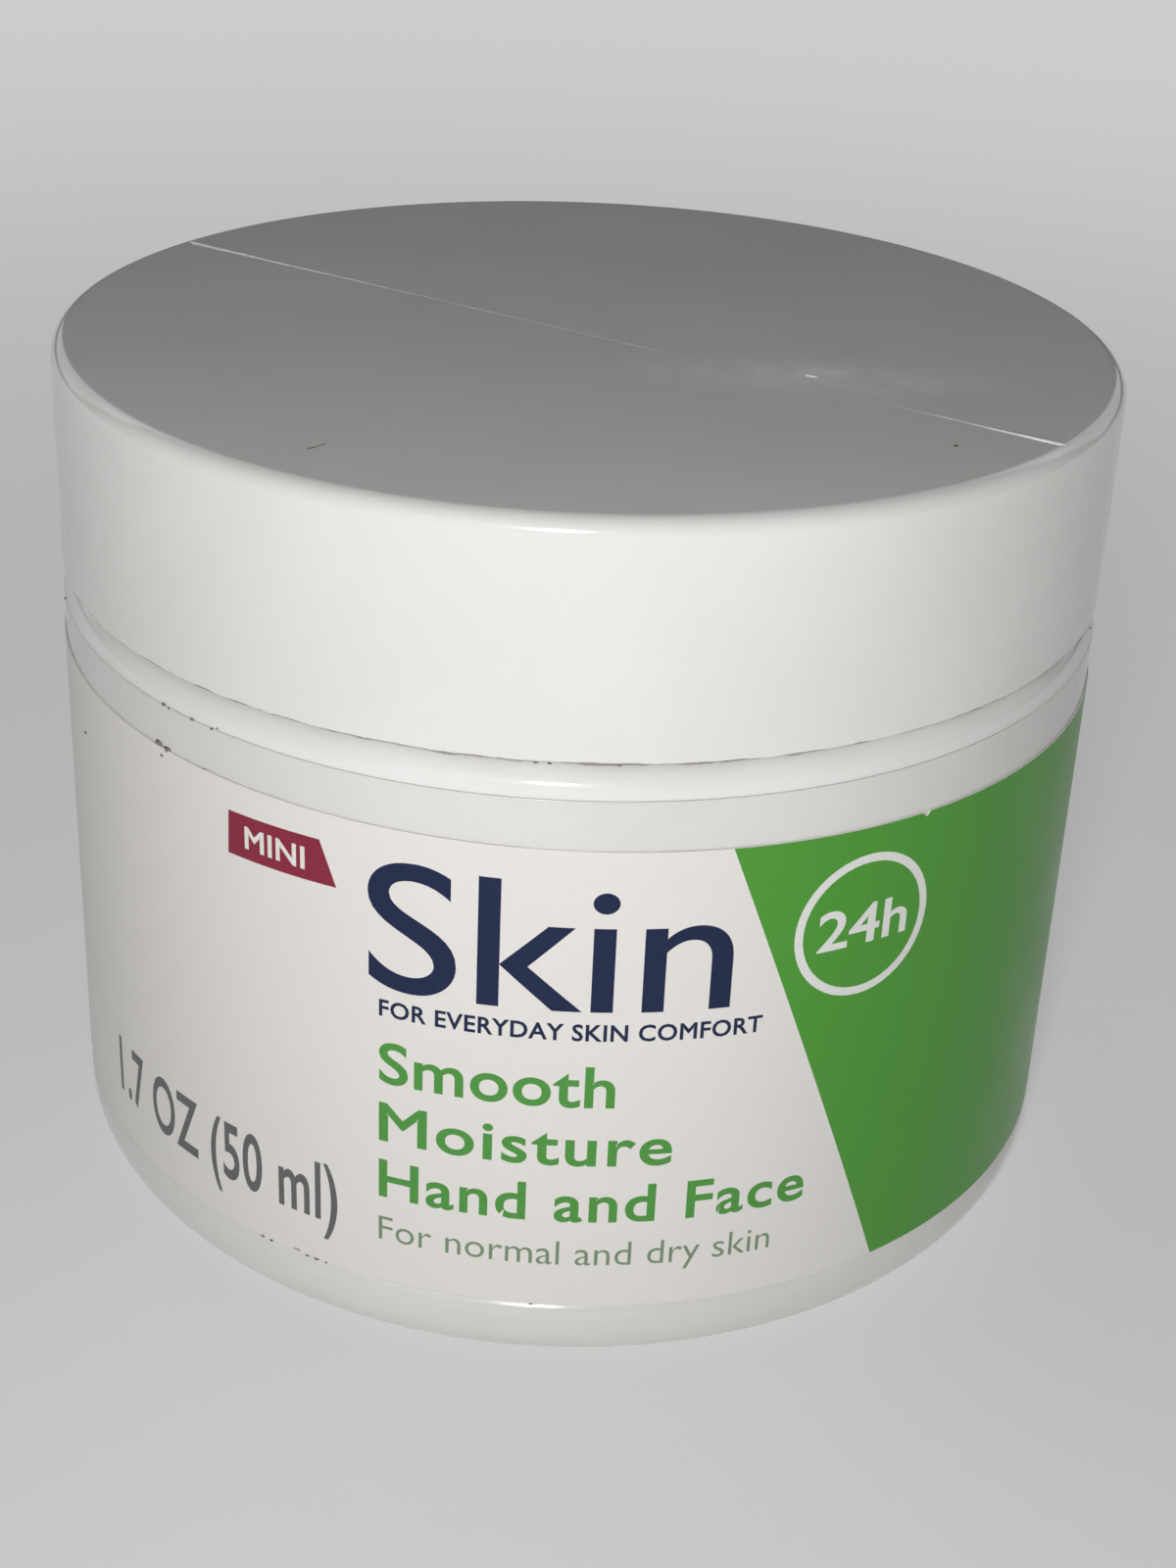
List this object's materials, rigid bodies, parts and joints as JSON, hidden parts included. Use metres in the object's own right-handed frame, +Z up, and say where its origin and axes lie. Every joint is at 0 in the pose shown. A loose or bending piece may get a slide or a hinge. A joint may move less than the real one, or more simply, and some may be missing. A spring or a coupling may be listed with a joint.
{
  "type": "cosmetic cream jar",
  "caption": "Round double-wall cream jar with a flat screw lid, rounded base and wrap label; the lid unscrews and lifts off a threaded inner cup of balm.",
  "frame": {"origin": "centre of the base, on the surface the jar stands on", "axes": "+Z up along the jar's axis; -Y is the label's front; +X to the right of someone who faces the label"},
  "size_m": [0.0622, 0.0621, 0.0515],
  "materials": {
    "white_gloss": "glossy moulded white polypropylene",
    "white_cup": "glossy moulded white polypropylene",
    "cap_white": "satin natural polypropylene",
    "label_film": "semi-matte printed film",
    "foam": "fine closed-cell foam",
    "balm": "soft waxy balm, satin"
  },
  "bodies": {
    "jar": {"outer_shell": "white_gloss", "label": "label_film", "inner_cup": "white_cup", "balm": "balm"},
    "liner": {"lid_liner": "foam"},
    "lid": {"lid_shell": "white_gloss", "inner_cap": "cap_white"}
  },
  "joints": [
    {"name": "lid_lift", "type": "slide", "parent": "jar", "child": "liner", "axis": [0, 0, 1], "range_m": [0, 0.016]},
    {"name": "lid_turn", "type": "hinge", "parent": "liner", "child": "lid", "pos_m": [0, 0, 0.03865], "axis": [0, 0, 1], "range_deg": [0, 1440]}
  ],
  "couplings": [
    {"joint": "lid_lift", "follows": "lid_turn", "m_per_rad": 0.00063662}
  ]
}
